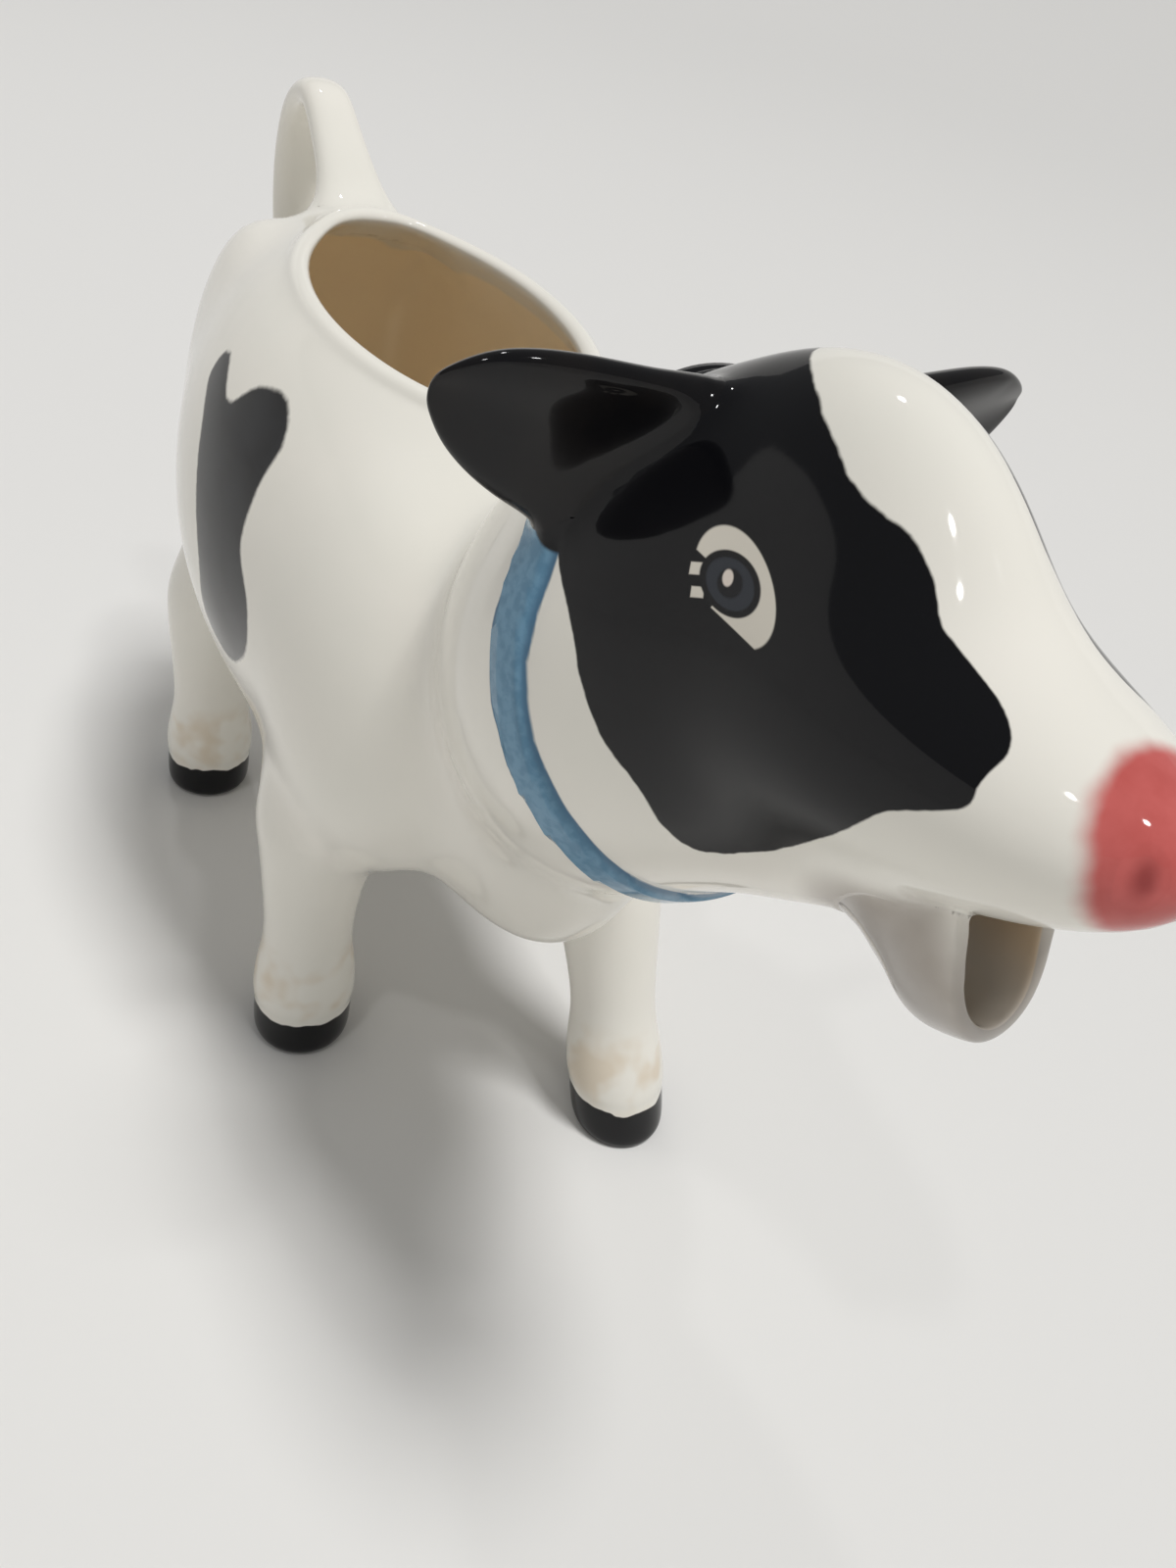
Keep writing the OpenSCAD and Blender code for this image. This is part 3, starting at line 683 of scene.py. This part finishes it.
corners = [(u, v * girth_per_degree) for u, v in cheek]
note(head, "patch", outline_gap(p[:, 0], turn * girth_per_degree, corners))
note(head, "depth", depth_of(p))
coat(head, glaze("head glaze", head_paint))


# Ears: two ears pressed from sheets of the same clay, dished in front, and luted with slip to the sides of
# the poll. They are glazed black all over.
def black_paint(shade, spot):
    return spot.noise(200.0).under(0.5, 0.2).tint(black, (0.007, 0.006, 0.006, 1)), None


ear_glaze = glaze("ear glaze", black_paint)
for name in ("ear_left", "ear_right"):
    ear = smooth_copy(name, 3)
    lute(head, ear, 1.5, cap=1.2)
    coat(ear, ear_glaze)
    polish(ear)


# Lower jaw: a thin pressed scoop of the same clay, luted under the mouth, which is the pouring lip. Its
# glaze is grey-brown, with painted shade under the muzzle; its hollow is brown, with a painted highlight
# low down.
def jaw_paint(shade, spot):
    x, y, z = axes(spot)
    # The jaw's grey-brown glaze, darker as painted shade under the muzzle, and paler towards the lip.
    jaw_grey_and_shade = spot.noise(200.0).under(0.5, 0.3).tint((0.40, 0.355, 0.31, 1), (0.47, 0.43, 0.385, 1))
    jaw_grey_and_shade = (z + x * 0.3).under(111.5, 3.0).tint(jaw_grey_and_shade, (0.48, 0.455, 0.43, 1))
    # Painted highlight: the hollow is paler low down, and brown above.
    hollow_and_highlight = z.under(89.0, 3.0).tint((0.60, 0.46, 0.31, 1), (0.68, 0.63, 0.56, 1))
    shown = shade.noted("lining").under(0.5, 0.4).tint(jaw_grey_and_shade, hollow_and_highlight)
    return jaw_shade_fade(x, y, z).tint(shown, white), None


jaw = smooth_copy("lower_jaw", 3)
p = points(jaw)
ahead = np.clip((p[:, 0] - 70) / 10, 0, 1)
sunk = np.clip((95 - p[:, 2]) / 11, 0, 1)
lip_lift = 0.9 * steps(ahead, 0.5, 1.05)
keel_lift = 2.5 * (1 - steps(p[:, 0], 70, 78))
p[:, 1] *= 1 - 0.05 * np.clip((97 - p[:, 2]) / 6, 0, 1)
p[:, 2] += (lip_lift + keel_lift) * sunk
p[:, 0] += ahead * ahead * (2.4 * sunk - 0.4)
place(jaw, p, grain(jaw))
hollow = np.array((77.5, 0, 91.5))


def jaw_softness(q, slopes):
    """Wide at the back of the jaw, almost nothing inside it and at its lip."""
    outward = steps(((q - hollow) * slopes).sum(1), -0.5, 2.5)
    return 0.3 + 1.6 * outward * (1 - steps(q[:, 0], 72.5, 77.5))


lute(head, jaw, 1.9, cap=0.6, softness=jaw_softness)
p = points(head)
p[:, 0] -= 0.3 * steps(p[:, 0], 78, 87)
place(head, p, grain(head))
p = points(jaw)
note(jaw, "lining", steps(((p - hollow) * facing(jaw)).sum(1), -3, -1))
coat(jaw, glaze("jaw glaze", jaw_paint))
polish(jaw)
polish(head)


# Camera: the photograph's own place and tilt. It is a phone's wide lens, held close over the nose on the
# cow's right, so the muzzle looks large and the tail small.
yaw, pitch, roll = math.radians(144.8), math.radians(36.75), math.radians(14.1)
forward = Vector((math.cos(yaw) * math.cos(pitch), math.sin(yaw) * math.cos(pitch), -math.sin(pitch)))
right = Vector((math.sin(yaw), -math.cos(yaw), 0))
down = forward.cross(right)
across = right * math.cos(roll) - down * math.sin(roll)
below = right * math.sin(roll) + down * math.cos(roll)
camera = bpy.data.objects.new("camera", bpy.data.cameras.new("camera"))
bpy.context.scene.collection.objects.link(camera)
turned = Matrix((across, -below, -forward)).transposed().to_4x4()
camera.matrix_world = Matrix.Translation((0.11152, -0.0582, 0.1412)) @ turned
camera.data.lens = 27
camera.data.clip_start = 0.01
bpy.context.scene.camera = camera
bpy.context.scene.view_settings.view_transform = "Standard"


# Floor and light: a pale plain floor that rises far round the cow like a shallow bowl, a soft sun nearly
# overhead, a dim sky, and three small ceiling lamps that give the glaze its sparks.
depth = 4
bm = bmesh.new()
bmesh.ops.create_cone(bm, cap_ends=True, segments=96, radius1=3, radius2=9, depth=depth)
bmesh.ops.translate(bm, vec=(0, 0, depth / 2), verts=bm.verts)
bmesh.ops.delete(bm, geom=[f for f in bm.faces if f.normal.z > 0.9], context="FACES")
foot = [e for e in bm.edges if max(v.co.z for v in e.verts) < 0.01]
bmesh.ops.bevel(bm, geom=foot, offset=0.9, segments=10, profile=0.5, affect="EDGES", material=-1)
bmesh.ops.reverse_faces(bm, faces=bm.faces)
for f in bm.faces:
    f.smooth = True
mesh = bpy.data.meshes.new("floor")
bm.to_mesh(mesh)
bm.free()
floor = bpy.data.objects.new("floor", mesh)
bpy.context.scene.collection.objects.link(floor)
cloth = bpy.data.materials.new("floor")
cloth.use_nodes = True
cloth.node_tree.nodes["Principled BSDF"].inputs["Base Color"].default_value = (0.74, 0.73, 0.71, 1)
cloth.node_tree.nodes["Principled BSDF"].inputs["Roughness"].default_value = 0.9
mesh.materials.append(cloth)
day = bpy.data.objects.new("day", bpy.data.lights.new("day", "SUN"))
day.data.energy = 1.95
day.data.angle = math.radians(15)
day.rotation_euler = Vector((-0.22, -0.17, -1)).to_track_quat("-Z", "Y").to_euler()
day.visible_glossy = False
bpy.context.scene.collection.objects.link(day)
cow_middle = Vector((0, 0, 0.06))
sparks = {"spark_front": (0.5, 0.12, 1.1), "spark_rear": (-0.6, 0.05, 1.2), "spark_side": (0.25, -0.5, 1.2)}
for name, spot in sparks.items():
    lamp = bpy.data.objects.new(name, bpy.data.lights.new(name, "AREA"))
    lamp.data.shape = "DISK"
    lamp.data.energy = 0.9
    lamp.data.size = 0.07
    lamp.location = spot
    lamp.rotation_euler = (cow_middle - lamp.location).to_track_quat("-Z", "Y").to_euler()
    bpy.context.scene.collection.objects.link(lamp)
world = bpy.data.worlds.new("world")
bpy.context.scene.world = world
world.use_nodes = True
world.node_tree.nodes["Background"].inputs["Color"].default_value = (0.74, 0.75, 0.76, 1)
world.node_tree.nodes["Background"].inputs["Strength"].default_value = 0.29
